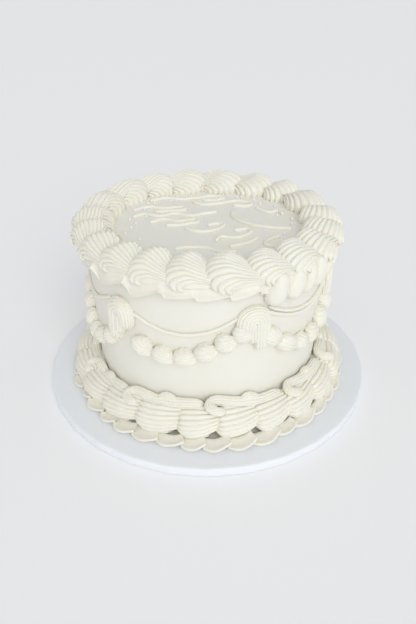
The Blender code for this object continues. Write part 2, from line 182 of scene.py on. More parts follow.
def blend(tree, factor, first, second):
    """Two colours mixed by a factor."""
    return add_node(tree, "ShaderNodeMix", {"data_type": "RGBA"}, {
        "Factor": factor, "A": (*first, 1), "B": (*second, 1)}).outputs["Result"]


def ranging(tree, factor, low, high):
    """Values from low to high by a factor."""
    return add_node(tree, "ShaderNodeMapRange", inputs={
        "Value": factor, "To Min": low, "To Max": high}).outputs["Result"]


def bumps(tree, height, strength, depth):
    """Normals of a fine relief."""
    return add_node(tree, "ShaderNodeBump", inputs={
        "Height": height, "Strength": strength, "Distance": depth}).outputs["Normal"]


def show(tree, surface):
    """Link a shader with these inputs to the material's output."""
    shader = add_node(tree, "ShaderNodeBsdfPrincipled", inputs=surface)
    add_node(tree, "ShaderNodeOutputMaterial", inputs={"Surface": shader.outputs["BSDF"]})


def buttercream(name, colour, warm, roughness, grain_mm, grain_depth):
    """Whipped butter and sugar: an opaque cream whose fat lets light in a little.

    The eye gets warm, soft-edged shade in the folds, a satin skin and a fine sugar grain.
    """
    made, tree = new_material(name)
    cloud = noise(tree, size_mm=24)
    grain = noise(tree, grain_mm, detail=3.0)
    show(tree, {
        "Base Color": blend(tree, cloud, colour, warm),
        "Roughness": ranging(tree, grain, roughness - 0.05, roughness + 0.07),
        "Normal": bumps(tree, grain, 1.0, grain_depth),
        "IOR": 1.45,
        "Subsurface Weight": 0.35,
        "Subsurface Radius": (1.0, 0.8, 0.45),
        "Subsurface Scale": 1.1 * MM})
    return made


def coated_paper(name, colour):
    """Board wrapped in coated white paper: a cool white with a soft gloss and faint pressing marks."""
    made, tree = new_material(name)
    fibre = noise(tree, size_mm=3, detail=4.0)
    show(tree, {
        "Base Color": blend(tree, fibre, colour, [0.97 * c for c in colour]),
        "Roughness": ranging(tree, fibre, 0.3, 0.42),
        "Normal": bumps(tree, fibre, 0.6, 0.04 * MM),
        "IOR": 1.5})
    return made


def sugar_pearl(name, colour):
    """Polished sugar pearl: a hard white shell with a small sharp highlight."""
    made, tree = new_material(name)
    cloud = noise(tree, size_mm=2)
    show(tree, {
        "Base Color": blend(tree, cloud, colour, [0.93 * c for c in colour]),
        "Roughness": 0.22,
        "IOR": 1.5,
        "Coat Weight": 0.6,
        "Coat Roughness": 0.1})
    return made


def matte_floor(name, colour):
    """Matte painted floor, a plain pale ground."""
    made, tree = new_material(name)
    show(tree, {"Base Color": (*colour, 1), "Roughness": 0.8})
    return made


# --- points on the cake ---

def on_cake(angle, radius, height):
    """Points at angles from the front, distances from the axis and heights."""
    turn = np.radians(angle)
    return np.stack(np.broadcast_arrays(radius * np.sin(turn), -radius * np.cos(turn), height), axis=-1)


def all_round(count):
    """Angles evenly spaced all round the cake."""
    return np.arange(count) * 360 / count


def wrapped(angle):
    """The same angle, between -180 and 180."""
    return (angle + 180) % 360 - 180


def wall_radius(height):
    """Radius of the cake's wall, which leans out slightly towards the top."""
    return CAKE_RADIUS - CAKE_LEAN * (CAKE_TOP - height) / (CAKE_TOP - BOARD_TOP)


def lay_on_top(points, angle, middle):
    """Bend (along, across, up) points into a ring on the cake's top."""
    place = angle + np.degrees(points[..., 0] / middle)
    return on_cake(place, middle + points[..., 1], CAKE_TOP + points[..., 2])


def lay_on_wall(points, angle, height, slope):
    """Bend (along, across, up) points round the cake's wall, turned by a slope."""
    flat = points[..., 0] * math.cos(slope) - points[..., 1] * math.sin(slope)
    rise = points[..., 0] * math.sin(slope) + points[..., 1] * math.cos(slope)
    return on_cake(angle + np.degrees(flat / CAKE_RADIUS),
                   wall_radius(height) + points[..., 2], height + rise)


def lay_in_corner(points, angle, centre, height, tilt):
    """Bend (along, across, up) points round the foot; up leans outwards by the tilt above level."""
    lean = math.radians(tilt)
    radius = centre + points[..., 2] * math.cos(lean) + points[..., 1] * math.sin(lean)
    rise = points[..., 2] * math.sin(lean) - points[..., 1] * math.cos(lean)
    return on_cake(angle + np.degrees(points[..., 0] / centre), radius, height + rise)


def go_round(front, count):
    """Angles that start as the front shows them, go on evenly all round, and end where they began."""
    return [*front, *np.linspace(front[-1], front[0] + 360, count - len(front) + 2)[1:].tolist()]


def wander(points, seed, size_mm, amount_mm):
    """Uneven hand work: the points drift by up to about the amount, in waves of about the size."""
    draw = random.Random(seed)
    moved = np.array(points, float)
    for finer in (1,) * 4 + (4,) * 4:
        wave = np.array([draw.gauss(0, 1) for _ in range(3)])
        wave *= 2 * math.pi * finer / (size_mm * MM) / np.linalg.norm(wave)
        push = np.array([draw.gauss(0, 1) for _ in range(3)]) * (amount_mm * MM) / (3 * finer)
        moved += np.sin(points @ wave + draw.uniform(0, 2 * math.pi))[..., None] * push
    return moved


def facing_out(points):
    """Unit normals of a closed tube of points, one row for each station along it."""
    across = np.roll(points, -1, axis=1) - np.roll(points, 1, axis=1)
    along = np.gradient(points, axis=0)
    normal = np.cross(across, along)
    normal /= np.maximum(np.linalg.norm(normal, axis=-1, keepdims=True), 1e-12)
    away = points - points.mean(axis=1, keepdims=True)
    return normal if (normal * away).sum() > 0 else -normal


def cut_grooves(points, ribs, depth, deeper):
    """Press narrow grooves into a tube of points. Its first columns hold the ribs, side by side.

    deeper multiplies the depth at each station.
    """
    used = ribs * RIB_COLUMNS + 1
    step = np.linalg.norm(np.roll(points, -1, axis=1) - points, axis=-1)
    step = (step + np.roll(step, 1, axis=1)) / 2
    share = (np.arange(points.shape[1]) % RIB_COLUMNS) / RIB_COLUMNS
    groove = 1 - np.sqrt(1 - (0.97 * (2 * share - 1)) ** 2)
    groove[used:] = 0
    low = np.minimum(depth, 0.6 * RIB_COLUMNS * step) * groove * deeper[:, None]
    return points - facing_out(points) * low[..., None]


def smooth_line(points, count):
    """A smooth line through points, resampled to evenly spaced stations."""
    points = np.array(points, float)
    ends = np.concatenate([[2 * points[0] - points[1]], points, [2 * points[-1] - points[-2]]])
    runs = []
    share = np.linspace(0, 1, 16, endpoint=False)[:, None]
    for a, b, c, d in zip(ends, ends[1:], ends[2:], ends[3:]):
        runs.append(0.5 * (2 * b + (c - a) * share + (2 * a - 5 * b + 4 * c - d) * share ** 2
                           + (3 * b - a - 3 * c + d) * share ** 3))
    line = np.concatenate([*runs, points[-1:]])
    length = np.concatenate([[0], np.cumsum(np.linalg.norm(np.diff(line, axis=0), axis=1))])
    even = np.linspace(0, length[-1], count)
    return np.stack([np.interp(even, length, line[:, k]) for k in range(line.shape[1])], axis=-1)


# --- piped shapes ---

def shell_points(length, width, rise, ribs, tail, arc, depth, bands, head, reach, crest=0.62, tuck=45,
                 ridge=180, sag=1.6, spread_out=1.1, skew=0, dome=1):
    """A piped shell in (along, across, up): ribs climb round a blunt head and run down to a tail.

    head and reach give the middle and half the length of the head as shares of the length, and arc
    the turns, from the tail round the head, at which the first and last ribs have their feet. The
    rib whose foot lies at the ridge's turn climbs highest. With a larger spread_out the ribs stay
    apart for longer on their way to the tail. A skewed shell has its inner side further back, and a
    dome below 1 makes its sides steeper. tuck says how far the foot curves in, in degrees, and crest
    which share of the head's width is left on top. A larger sag keeps the back high for longer.
    """
    tail = np.array(tail, float)
    low = math.sin(math.radians(tuck))

    def row_at(turn, share):
        """Points at turns round the head: tucked in at the foot, swelling, then running to the tail."""
        side = 0.5 * width * np.sin(turn)
        along = head * length + reach * length * np.cos(turn) + skew * side
        foot = np.stack([along, side, 0 * turn], axis=-1)
        top = tail[2] + (rise - tail[2]) * ((1 + np.cos(turn - math.radians(ridge))) / 2) ** dome
        swing = math.radians(-tuck + (90 + tuck) * min(1, share / 0.5))
        fall = max(0, (share - 0.5) / 0.5)
        swell = crest + (1 - crest) * math.cos(swing)
        row = tail + (foot - tail) * swell * np.array([(1 - fall) ** 0.9, 1 - fall ** spread_out, 1])
        row[:, 2] = top * (math.sin(swing) + low) / (1 + low) * (1 - fall ** sag) + tail[2] * fall ** sag
        return row

    # The ribs are spaced evenly, judged by foot and crest together.
    dense = np.radians(np.linspace(*arc, 200))
    spread = np.zeros(len(dense))
    for share in (0, 0.5):
        step = np.linalg.norm(np.diff(row_at(dense, share), axis=0), axis=1)
        spread[1:] += np.cumsum(step) / step.sum()
    turn = np.interp(np.linspace(0, spread[-1], ribs * RIB_COLUMNS + 1), spread, dense)
    rows = []
    for share in np.linspace(0, 1, bands) ** 1.15:
        row = row_at(turn, share)
        under = row[-1] + (row[0] - row[-1]) * np.array([[0.05], [0.25], [0.5], [0.75], [0.95]])
        under[:, 2] = 0
        rows.append(np.concatenate([row, under]))
    rows[-1][:] = tail
    deeper = 1 + 0.5 * np.exp(-np.linspace(0, 1, bands) / 0.06)
    points = cut_grooves(np.array(rows), ribs, depth, deeper)
    base = points[0].mean(axis=0)
    return np.concatenate([np.broadcast_to(base, points[:1].shape), points])


def rope_points(line, up, radii, ribs, depth, arc=360, plain=0, twist=0, flat=None, squash=1, ends=0):
    """A piped rope round a line. up gives its outward side at each station.

    The ribs reach over an arc centred on that side, and plain columns close the rest. On its inner
    side the rope can be flat, as where it lies against itself. It can be squashed towards what it
    lies on, have ribs that twist, in degrees from end to end, and have deeper grooves at its ends.
    """
    if ribs:
        turn = 90 - arc / 2 + arc * np.arange(ribs * RIB_COLUMNS + 1) / (ribs * RIB_COLUMNS)
        rest = np.linspace(turn[-1], turn[0] + 360, plain + 2)[1:-1]
        turn = turn[:-1] if arc == 360 else np.concatenate([turn, rest])
    else:
        turn = all_round(plain)
    along = np.gradient(line, axis=0)
    along /= np.linalg.norm(along, axis=1, keepdims=True)
    up = up - (up * along).sum(axis=1, keepdims=True) * along
    up /= np.linalg.norm(up, axis=1, keepdims=True)
    side = np.cross(along, up)
    swing = np.radians(turn[None, :] + twist * np.linspace(0, 1, len(line))[:, None])
    radii = np.asarray(radii)[:, None]
    inward = radii * np.cos(swing)
    if flat is not None:
        inward = np.minimum(inward, flat)
    outward = squash * radii * np.sin(swing)
    points = line[:, None] + inward[..., None] * side[:, None] + outward[..., None] * up[:, None]
    if ribs:
        share = np.linspace(0, 1, len(line))
        deeper = 1 + ends * (np.exp(-share / 0.1) + np.exp((share - 1) / 0.1))
        points = cut_grooves(points, ribs, depth, deeper)
    tips = [np.broadcast_to(points[i].mean(axis=0), points[:1].shape) for i in (0, -1)]
    return np.concatenate([tips[0], points, tips[1]])


def round_ends(count, radii, blunt, tip):
    """Radii along a rope, spread over its stations and rounded off at head and tail."""
    share = np.linspace(0, 1, count)
    size = np.interp(share, np.linspace(0, 1, len(radii)), radii)
    near_head = np.clip(share / blunt, 0, 1)
    near_tail = np.clip((1 - share) / tip, 0, 1)
    size *= np.sqrt(np.clip(1 - (1 - near_head) ** 2, 0.02, 1))
    return size * np.sqrt(np.clip(1 - (1 - near_tail) ** 2, 0.02, 1))


# --- meshes ---

def select_only(*pieces):
    """Select these pieces and nothing else, in object mode. The first is made active."""
    if bpy.context.object and bpy.context.object.mode != "OBJECT":
        bpy.ops.object.mode_set(mode="OBJECT")
    bpy.ops.object.select_all(action="DESELECT")
    for piece in pieces:
        piece.select_set(True)
    if pieces:
        bpy.context.view_layer.objects.active = pieces[0]


def skin(name, points, join_rows=False):
    """Wrap a grid primitive over rows of points into a closed tube, and close its ends and seams."""
    select_only()
    points = np.concatenate([points, points[:, :1]], axis=1)
    if join_rows:
        points = np.concatenate([points, points[:1]])
    rows, columns = points.shape[:2]
    bpy.ops.mesh.primitive_grid_add(x_subdivisions=columns - 1, y_subdivisions=rows - 1, size=2)
    made = bpy.context.object
    made.name = made.data.name = name
    co = np.empty(3 * len(made.data.vertices), np.float32)
    made.data.vertices.foreach_get("co", co)
    co = co.reshape(-1, 3)
    column = np.rint((co[:, 0] + 1) / 2 * (columns - 1)).astype(int)
    row = np.rint((co[:, 1] + 1) / 2 * (rows - 1)).astype(int)
    made.data.vertices.foreach_set("co", points[row, column].astype(np.float32).ravel())
    bpy.ops.object.mode_set(mode="EDIT")
    bpy.ops.mesh.select_all(action="SELECT")
    bpy.ops.mesh.remove_doubles(threshold=0.0005 * MM)
    bpy.ops.mesh.quads_convert_to_tris(quad_method="SHORTEST_DIAGONAL")
    bpy.ops.mesh.normals_make_consistent(inside=False)
    bpy.ops.object.mode_set(mode="OBJECT")
    return made


def fuse(name, parts):
    """Union parts that run into each other, so that nothing is left inside, and keep the outer skin."""
    group = bpy.data.collections.new(name)
    bpy.context.scene.collection.children.link(group)
    whole, others = parts[0], parts[1:]
    for part in others:
        group.objects.link(part)
    select_only(whole)
    if others:
        bpy.ops.object.modifier_add(type="BOOLEAN")
        union = whole.modifiers[-1]
        union.operation = "UNION"
        union.solver = "MANIFOLD"
        union.operand_type = "COLLECTION"
        union.collection = group
        bpy.ops.object.modifier_apply(modifier=union.name)
    for part in others:
        bpy.data.objects.remove(part, do_unlink=True)
    bpy.data.collections.remove(group)
    whole.name = whole.data.name = name
    return whole


def gather(name, parts):
    """Join parts that lie apart into one piece."""
    select_only(*parts)
    bpy.ops.object.join()
    parts[0].name = parts[0].data.name = name
    return parts[0]


def finish_piece(piece, finish, nodes, angle=50):
    """Shade a piece, give it its material, and put it in place of its solids."""
    select_only(piece)
    bpy.ops.object.shade_smooth_by_angle(angle=math.radians(angle))
    piece.data.materials.clear()
    piece.data.materials.append(finish)
    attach(piece, BODY)
    if nodes:
        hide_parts(*nodes)


# --- settings ---

class BoardSettings(bpy.types.PropertyGroup):
    """The wrapped board under the cake."""

    radius: FloatProperty(
        name="Radius", description="Radius of the board", default=BOARD_RADIUS, unit="LENGTH")
    thickness: FloatProperty(
        name="Thickness", description="Thickness of the board", default=BOARD_TOP, unit="LENGTH")
    colour: FloatVectorProperty(
        name="Colour", description="Colour of the wrapping paper", size=3, subtype="COLOR",
        default=linear("#F3F4F6"))


class IcingSettings(bpy.types.PropertyGroup):
    """The buttercream: its colours, ribs and thin lines."""

    smooth: FloatVectorProperty(
        name="Coat", description="Colour of the smooth coat", size=3, subtype="COLOR",
        default=linear("#F2EFE6"))
    piped: FloatVectorProperty(
        name="Piping", description="Colour of the ribbed piping", size=3, subtype="COLOR",
        default=linear("#F5F1E4"))
    warm: FloatVectorProperty(
        name="Deep tone", description="Warmer tone that clouds the buttercream", size=3,
        subtype="COLOR", default=linear("#F0EBDD"))
    rib_depth: FloatProperty(
        name="Rib depth", description="Depth of the grooves of the large nozzle", default=2.1 * MM,
        unit="LENGTH")
    string_radius: FloatProperty(
        name="String radius", description="Radius of the draped strings", default=1.25 * MM,
        unit="LENGTH")
    line_radius: FloatProperty(
        name="Line radius", description="Radius of the lines piped on the top", default=1.4 * MM,
        unit="LENGTH")


class PearlSettings(bpy.types.PropertyGroup):
    """The sugar pearls on the top."""

    radius: FloatProperty(
        name="Radius", description="Radius of a pearl", default=1 * MM, unit="LENGTH")
    colour: FloatVectorProperty(
        name="Colour", description="Colour of the pearls", size=3, subtype="COLOR",
        default=linear("#F6F4F0"))


class StageSettings(bpy.types.PropertyGroup):
    """Floor and light."""

    floor: FloatVectorProperty(
        name="Floor", description="Colour of the floor", size=3, subtype="COLOR",
        default=linear("#FDFCFB"))
    key_power: FloatProperty(
        name="Key", description="Strength of the wide soft light from the front", default=1.4)
    sky: FloatProperty(
        name="Sky", description="Strength of the even light all round", default=0.61)


# --- the pieces ---

class CAKE_OT_board(bpy.types.Operator):
    """Make the round board with its wrapped edge"""

    bl_idname = "cake.board"
    bl_label = "Board"

    def execute(self, context):
        board = context.scene.cake_board
        high = board.thickness
        edge = 1.2 * MM
        facets = 30
        facet_depth = 0.65  # as a share of that of a true polygon
        angle = all_round(300)
        # The wrapping pulls the rim into short straight runs, each a hair under the full radius.
        run = np.radians((angle % (360 / facets)) - 180 / facets)
        pull = math.cos(math.pi / facets) / np.cos(run)
        radius = board.radius * (1 - facet_depth + facet_depth * pull / pull.max())
        # From the underside round the rim to the top: distance in from the rim, and height.
        profile = (
            (4 * MM, 0), (edge, 0), (0.35 * edge, 0.25 * edge), (0.1 * edge, 0.8 * edge),
            (0, 0.5 * high), (0, high - edge), (0.15 * edge, high - 0.45 * edge),
            (0.5 * edge, high - 0.12 * edge), (1.1 * edge, high), (2.2 * edge, high),
            (30 * MM, high), (70 * MM, high))
        rows = [on_cake(angle, radius - inset, height) for inset, height in profile]
        rows = [on_cake(angle, 0, 0), *rows, on_cake(angle, 0, high)]
        piece = skin("wrapped_board", np.array(rows))
        finish = coated_paper("coated white paper", board.colour)
        finish_piece(piece, finish, ["cake_board"], 40)
        return {"FINISHED"}


class CAKE_OT_coat(bpy.types.Operator):
    """Spread the smooth coat over the cake"""

    bl_idname = "cake.coat"
    bl_label = "Smooth coat"

    def execute(self, context):
        icing = context.scene.cake_icing
        edge = 2.5 * MM
        angle = all_round(160)
        foot = BOARD_TOP + GAP
        # Up the wall, over the rounded edge and across the top.
        profile = [(wall_radius(h), h) for h in np.linspace(foot, CAKE_TOP - edge, 30)]
        for turn in np.radians(range(15, 91, 15)):
            profile.append((CAKE_RADIUS - edge + edge * math.cos(turn),
                            CAKE_TOP - edge + edge * math.sin(turn)))
        profile += [(r * MM, CAKE_TOP) for r in range(78, 0, -10)]
        profile = [(0, foot), *profile, (0, CAKE_TOP)]
        points = np.array([on_cake(angle, radius, height) for radius, height in profile])
        # The underside and the middle of the top stay where they are.
        points[2:-1] = wander(points[2:-1], 4, 70, 0.18)
        points[..., 2] = np.clip(points[..., 2], foot, CAKE_TOP + 0.1 * MM)
        piece = skin("smooth_coat", points)
        finish = buttercream("smooth buttercream", icing.smooth, icing.warm, 0.5, 1.2, 0.03 * MM)
        finish_piece(piece, finish, ["iced_cake"], 40)
        return {"FINISHED"}


def finish_piping(piece, nodes, angle=50):
    """Finish a piece with the material of all piping, which is made once."""
    icing = bpy.context.scene.cake_icing
    name = "piped buttercream"
    finish = bpy.data.materials.get(name)
    finish = finish or buttercream(name, icing.piped, icing.warm, 0.46, 0.7, 0.05 * MM)
    finish_piece(piece, finish, nodes, angle)


class CAKE_OT_top_shells(bpy.types.Operator):
    """Pipe the ring of large shells round the top edge"""

    bl_idname = "cake.top_shells"
    bl_label = "Top shells"

    def execute(self, context):
        icing = context.scene.cake_icing
        draw = random.Random(11)
        rise, tail_height, sink = 15 * MM, 2.2 * MM, 1.2 * MM
        droop, droop_start, droop_width = 2.6 * MM, 88 * MM, 9 * MM
        parts = []
        ends = [*TOP_CREVICES[1:], TOP_CREVICES[0] + 360]
        for i, (start, end) in enumerate(zip(TOP_CREVICES, ends)):
            facing = wrapped((start + end) / 2)
            side, far, head, ridge, last, spread_out = (
                np.interp(abs(facing), TOP_OFF_FRONT, row) for row in (
                    TOP_TAIL_SIDE, TOP_REACH, TOP_HEAD, TOP_RIDGE_TURN, TOP_LAST_TURN, TOP_SPREAD))
            inner = np.interp(facing, TOP_FOOT_ANGLES, TOP_FOOT_RADII) * MM
            outer = np.interp(facing, TOP_OUTER_ANGLES, TOP_OUTER_RADII) * MM
            middle = (outer + inner) / 2
            length = math.radians(end - start) * middle
            width = (outer - inner) * draw.uniform(0.97, 1.02)
            height = rise * draw.uniform(0.95, 1.01)
            tail = (far * length, side * width, tail_height)
            skew = np.interp(facing, TOP_SKEW_ANGLES, TOP_SKEWS)
            ribs = 10 if abs(facing) < 70 else 12
            # Each head starts a little before its crevice, over the tail of the last shell.
            points = shell_points(
                length, width, height, ribs, tail, arc=(68, last), depth=icing.rib_depth, bands=36,
                head=head - 0.06, reach=head, crest=0.67, tuck=30, ridge=ridge, sag=1.1,
                spread_out=spread_out, skew=skew, dome=0.6)
            points[..., 2] -= sink
            points = lay_on_top(points, start, middle)
            # The outer part hangs over the ruffle.
            radius = np.hypot(points[..., 0], points[..., 1])
            points[..., 2] -= droop * np.clip((radius - droop_start) / droop_width, 0, 1) ** 1.5
            parts.append(skin("shell", wander(points, 20 + i, 25, 0.45)))
        piece = fuse("top_shells", parts)
        finish_piping(piece, ["top_shell_border"])
        return {"FINISHED"}


class CAKE_OT_base_shells(bpy.types.Operator):
    """Pipe the ring of fat shells round the foot"""

    bl_idname = "cake.base_shells"
    bl_label = "Base shells"

    def execute(self, context):
        icing = context.scene.cake_icing
        draw = random.Random(3)
        crevices = go_round(BASE_FRONT_CREVICES, BASE_SHELL_COUNT)
        fat = 13.4 * MM
        climb, lag, hollow = 4.5 * MM, 8 * MM, 11 * MM
        tilt = 5  # degrees
        lowest = BOARD_TOP + 1.5 * MM
        share = np.linspace(0, 1, 32) ** 1.25
        parts = []
        for i, (start, end) in enumerate(zip(crevices, crevices[1:])):
            size = draw.uniform(0.96, 1.02)
            facing = wrapped((start + end) / 2)
            height, centre = (np.interp(facing, SHELL_ANGLES, row) * MM
                              for row in (SHELL_HEIGHTS, SHELL_CENTRES))
            length = math.radians(end - start) * centre
            # From a blunt head each shell narrows and climbs a little, and runs into the next.
            line = np.stack([(-0.05 + 1.2 * share) * length, -climb * share ** 1.8, 0 * share], axis=-1)
            swell = np.interp(share, (0, 0.3, 0.6, 1), (0.94, 1, 0.94, 0.66))
            blunt = np.sqrt(np.clip(1 - (1 - np.clip(share / 0.2, 0, 1)) ** 2, 0.01, 1))
            points = rope_points(line, UPWARDS, fat * size * swell * blunt, 12, 1.1 * icing.rib_depth,
                                 arc=220, plain=7, ends=0.5)
            # The foot of its head lies further back than the crest.
            low = np.clip(points[..., 1] / fat, 0, 1)
            left = np.concatenate([[1], 1 - share, [0]])[:, None]
            points[..., 0] += lag * low ** 1.5 * left
            # Hollow under its tail, it leaves a dark pocket before the next head.
            under = np.clip(5 * points[..., 1] / fat - 1, 0, 1)
            points[..., 2] -= hollow * under * np.clip((0.33 - left) / 0.12, 0, 1)
            points = lay_in_corner(points, start, centre, BOARD_TOP + height, tilt)
            points[..., 2] = np.maximum(points[..., 2], lowest)
            parts.append(skin("shell", wander(points, 50 + i, 25, 0.4)))
        piece = fuse("base_shells", parts)
        finish_piping(piece, ["base_shell_border"])
        return {"FINISHED"}


class CAKE_OT_scroll_rope(bpy.types.Operator):
    """Pipe the scrolled rope between the base shells and the wall"""

    bl_idname = "cake.scroll_rope"
    bl_label = "Scrolled rope"

    def execute(self, context):
        draw = random.Random(8)
        centre = 94 * MM
        starts = go_round(SCROLL_STARTS, SCROLL_COUNT)
        # Each scroll curls round a small hole and runs on to the right. In mm: along, inwards, up. The
        # curl is given by turns in degrees, and mm up.
        curl = ((-62, 0.6), (-105, 1.2), (-145, 1.8), (180, 2.4), (140, 3.0), (100, 3.2))
        scroll = [(11.6 + 6.9 * math.cos(math.radians(t)), -0.9 + 4.8 * math.sin(math.radians(t)), lift)
                  for t, lift in curl]
        scroll += [(16.5, 3.6, 2.6), (23, 3.4, 1.0), (31, 3.3, 0.2), (42, 3.3, 0), (52, 3.3, 0),
                   (61, 3.2, 0.2)]
        scroll_radii = (2.8, 3.6, 3.8, 4.3, 4.7, 4.7, 4.5, 4.0)
        # A small hook sits against the wall between two curls.
        hook = [(29, 2.2, 0.4), (30.2, 3.8, 3.0), (33.4, 4.4, 4.3), (37, 4.0, 3.4), (40.5, 3.2, 1.4),
                (45, 2.8, -0.4)]
        hook_radii = (2.6, 3.0, 3.1, 3.0, 2.8, 2.4)
        parts = []
        strokes = ((scroll, scroll_radii, 72), (hook, hook_radii, 30))
        for i, (start, end) in enumerate(zip(starts, starts[1:])):
            stretch = math.radians(end - start) * centre / (60 * MM)
            for k, (line_mm, radii, count) in enumerate(strokes):
                size = draw.uniform(0.95, 1.04)
                path = smooth_line(np.array(line_mm) * (1, size, size), count) * MM
                path[:, 0] *= stretch
                place = start + np.degrees(path[:, 0] / centre)
                height = np.interp(wrapped(place), ROPE_ANGLES, ROPE_HEIGHTS) * MM + BOARD_TOP
                line = on_cake(place, centre - path[:, 1], height + path[:, 2])
                up = on_cake(place, 1.0, 0.8)
                fat = round_ends(count, radii, 0.06, 0.1) * size * MM
                points = rope_points(line, up, fat, 12, 0.9 * MM, twist=25)
                parts.append(skin("scroll", wander(points, 80 + 2 * i + k, 22, 0.3)))
        piece = fuse("scroll_rope", parts)
        finish_piping(piece, ["base_scroll_border"])
        return {"FINISHED"}


class CAKE_OT_top_ruffle(bpy.types.Operator):
    """Pipe the ruffle that hangs under the top shells"""

    bl_idname = "cake.top_ruffle"
    bl_label = "Top ruffle"

    def execute(self, context):
        draw = random.Random(21)
        back = np.linspace(PUFFS_END, TOP_FOLDS[0][0] + 360, BACK_FOLD_COUNT + 1)[:-1]
        folds = list(TOP_FOLDS)
        folds += [(angle, draw.uniform(101, 103), draw.uniform(107.5, 110)) for angle in back]
        folds.append((folds[0][0] + 360, *folds[0][1:]))
        rows = []
        for (start, low, cusp), (end, next_low, _) in zip(folds, folds[1:]):
            steps = 60 if low == cusp else 26  # a flat stretch is long
            for share in np.linspace(0, 1, steps, endpoint=False):
                rows.append(top_fold(start, end, share, low, cusp, next_low))
        points = wander(np.array(rows), 140, 40, 0.5)
        parts = [skin("ribbon", points, join_rows=True)]
        # The puffs hang down from under the shells and lean to the left.
        share = np.linspace(0, 1, 22)
        bulge = 89.0 + 2.6 * np.sin(math.pi * share ** 0.8)
        for i, (angle, radius) in enumerate(PUFFS):
            drop = draw.uniform(19, 20.4)
            height = BOARD_TOP + (117 - drop * share) * MM
            line = on_cake(angle + 2.6 - 4.2 * share, bulge * MM, height)
            fat = round_ends(len(share), (0.7, 0.86, 0.98, 1.0, 0.98), 0.1, 0.32) * radius * MM
            points = rope_points(line, on_cake(angle, 1.0, 0.3), fat, 0, 0, plain=28, squash=0.85)
            parts.append(skin("puff", wander(points, 141 + i, 18, 0.5)))
        piece = fuse("top_ruffle_ribbon", parts)
        finish_piping(piece, ["top_ruffle"], 60)
        return {"FINISHED"}


def top_fold(start, end, share, low, cusp, next_low):
    """Cross-section of the hanging ribbon at a share of a fold, as a ring of points.

    A fold is a petal: its rim starts low by the wall, swings out and climbs to a cusp on the right,
    from where it drops back to the next.
    """
    peak = 0.88
    thick = 1.7 * MM
    wall = CAKE_RADIUS - 0.5 * MM
    if share < peak:
        edge = low + (cusp - low) * (share / peak) ** 1.35
        out = share / peak
    else:
        back = 0.5 + 0.5 * math.cos(math.pi * (share - peak) / (1 - peak))
        edge = next_low + (cusp - next_low) * back
        out = back ** 2
    flare = min(4.0, 1.2 + 0.3 * (cusp - low)) if cusp > low else 0
    rim = 90.4 + flare * out
    foot = BOARD_TOP + edge * MM
    top = CAKE_TOP + 0.6 * MM
    belly = 0.9 * math.sin(math.pi * share)
    plain_foot = 92.9  # where the face would end by itself
    lip = 1.5
    ring = [(CAKE_RADIUS + 2 * MM, top)]
    # Down the face, round the lip and up the back.
    for q in np.linspace(0, 1, 15):
        face = 88.6 + 2.4 * q + 2.4 * math.sin(0.7 * math.pi * q) + belly * math.sin(math.pi * q)
        face += (rim - plain_foot) * q ** 3 + lip * max(0, (q - 0.84) / 0.16) ** 1.5
        ring.append((face * MM, top + (foot - top) * q))
    for turn in np.radians((25, 55, 90, 125)):
        ring.append(((rim + lip) * MM + thick / 2 * (math.cos(turn) - 1),
                     foot - thick / 2 * math.sin(turn)))
    for q in np.linspace(1, 0, 6):
        ring.append((wall + (rim * MM - thick - wall) * q, foot + (1 - q ** 1.5) * 6 * MM))
    ring.append((wall, top))
    place = start + (end - start) * (share + (1 - peak))
    return np.array([on_cake(place, radius, height) for radius, height in ring])


class CAKE_OT_base_ruffle(bpy.types.Operator):
    """Pipe the flat ruffle that lies on the board"""

    bl_idname = "cake.base_ruffle"
    bl_label = "Base ruffle"

    def execute(self, context):
        draw = random.Random(31)
        width = 360 / BASE_FOLD_COUNT
        starts = [BASE_FOLD_FIRST + width * (i + draw.uniform(-0.1, 0.1))
                  for i in range(BASE_FOLD_COUNT)]
        rows = []
        for start, end in zip(starts, [*starts[1:], starts[0] + 360]):
            far = np.interp(abs(wrapped(start)), PETAL_OFF_FRONT, PETAL_REACH)
            far += draw.uniform(-1.2, 1.0)
            stand = draw.uniform(0.6, 1.3)
            for share in np.linspace(0, 1, 14):
                rows.append(base_fold(start, end - start, share, far, stand))
        points = wander(np.array(rows), 150, 30, 0.5)
        points[..., 2] = np.maximum(points[..., 2], BOARD_TOP + GAP / 2)
        piece = skin("base_ruffle_ribbon", points, join_rows=True)
        finish_piping(piece, ["base_ruffle"], 60)
        return {"FINISHED"}


def base_fold(start, width, share, far, stand):
    """Cross-section of the foot ruffle: a hollow petal whose right side stands up as a thin crest."""
    floor = BOARD_TOP + GAP / 2
    inner = 98 * MM
    # The rim draws back between two petals.
    notch = 5.4 * (1 - math.sin(math.pi * min(1, share * 0.88 + 0.06)) ** 0.7)
    rim = (far - notch) * MM
    ridge = 3.4 * stand * share ** 3
    dip = math.sin(math.pi * min(1, 0.15 + 0.85 * share)) ** 0.5
    ring = [(90 * MM, floor, 0)]
    for q in np.linspace(0, 1, 11):
        radius = inner + (rim - inner) * q
        hollow = 0.7 * math.sin(math.pi * q) * dip
        # The inner edge stays low under the shells, so that gaps between them are dark.
        climb = 0.1 + 0.9 * min(1, max(0, 4.5 * q - 0.55))
        height = climb * (6.4 * (1 - q) + 1.4 * q + ridge * (0.6 + 0.4 * q)) + 1.6 * q ** 6 - hollow
        ring.append((radius, floor + max(0.3, height) * MM, q))
    thick = 2.2 * MM
    top = ring[-1][1]
    for out, down in ((0.35, 0.12), (0.5, 0.5), (0.3, 0.9), (-0.5, 1.2)):
        ring.append((rim + out * thick, top - down * thick, 1))
    ring.append((rim - 5 * MM, floor, 0.8))
    lean = 1.6 * share ** 4
    return np.array([on_cake(start + width * share * 0.97 + lean * q, radius, height)
                     for radius, height, q in ring])


